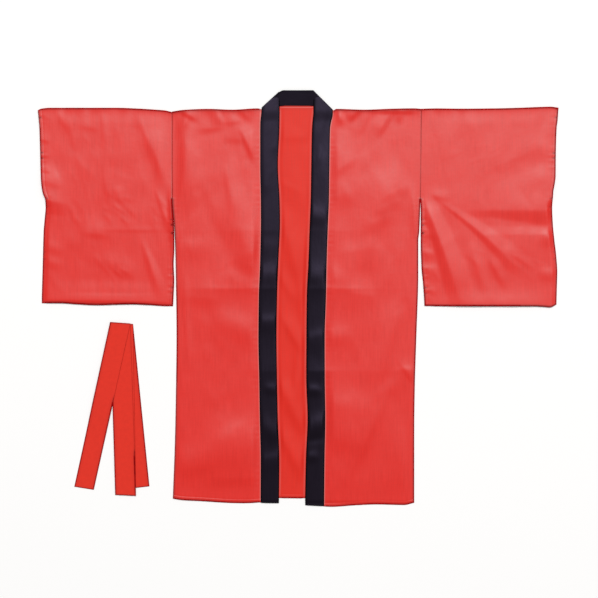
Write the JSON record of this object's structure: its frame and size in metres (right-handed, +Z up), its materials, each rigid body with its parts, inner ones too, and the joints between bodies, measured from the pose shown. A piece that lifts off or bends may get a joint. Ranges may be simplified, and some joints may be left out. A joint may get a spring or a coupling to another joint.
{
  "type": "happi coat",
  "caption": "Happi coat of red satin laid flat, with square sleeves, an open front, a black satin collar band and its folded cloth belt.",
  "frame": {"origin": "under the middle of the coat's bounding box, on the surface that the coat lies on", "axes": "+X runs from the wearer's right sleeve to the left one, +Y from the hem up to the collar, +Z up from the surface through the layers"},
  "size_m": [1.2998, 1.0416, 0.0063],
  "materials": {
    "body_satin": "red polyester satin, glossy along the weave",
    "collar_satin": "black satin, folded double",
    "belt_cloth": "red plain weave, matt"
  },
  "bodies": {
    "root": {"back": "body_satin", "front_right": "body_satin", "front_left": "body_satin", "sleeve_right": "body_satin", "sleeve_left": "body_satin", "collar": "collar_satin", "belt": "belt_cloth"}
  },
  "joints": []
}
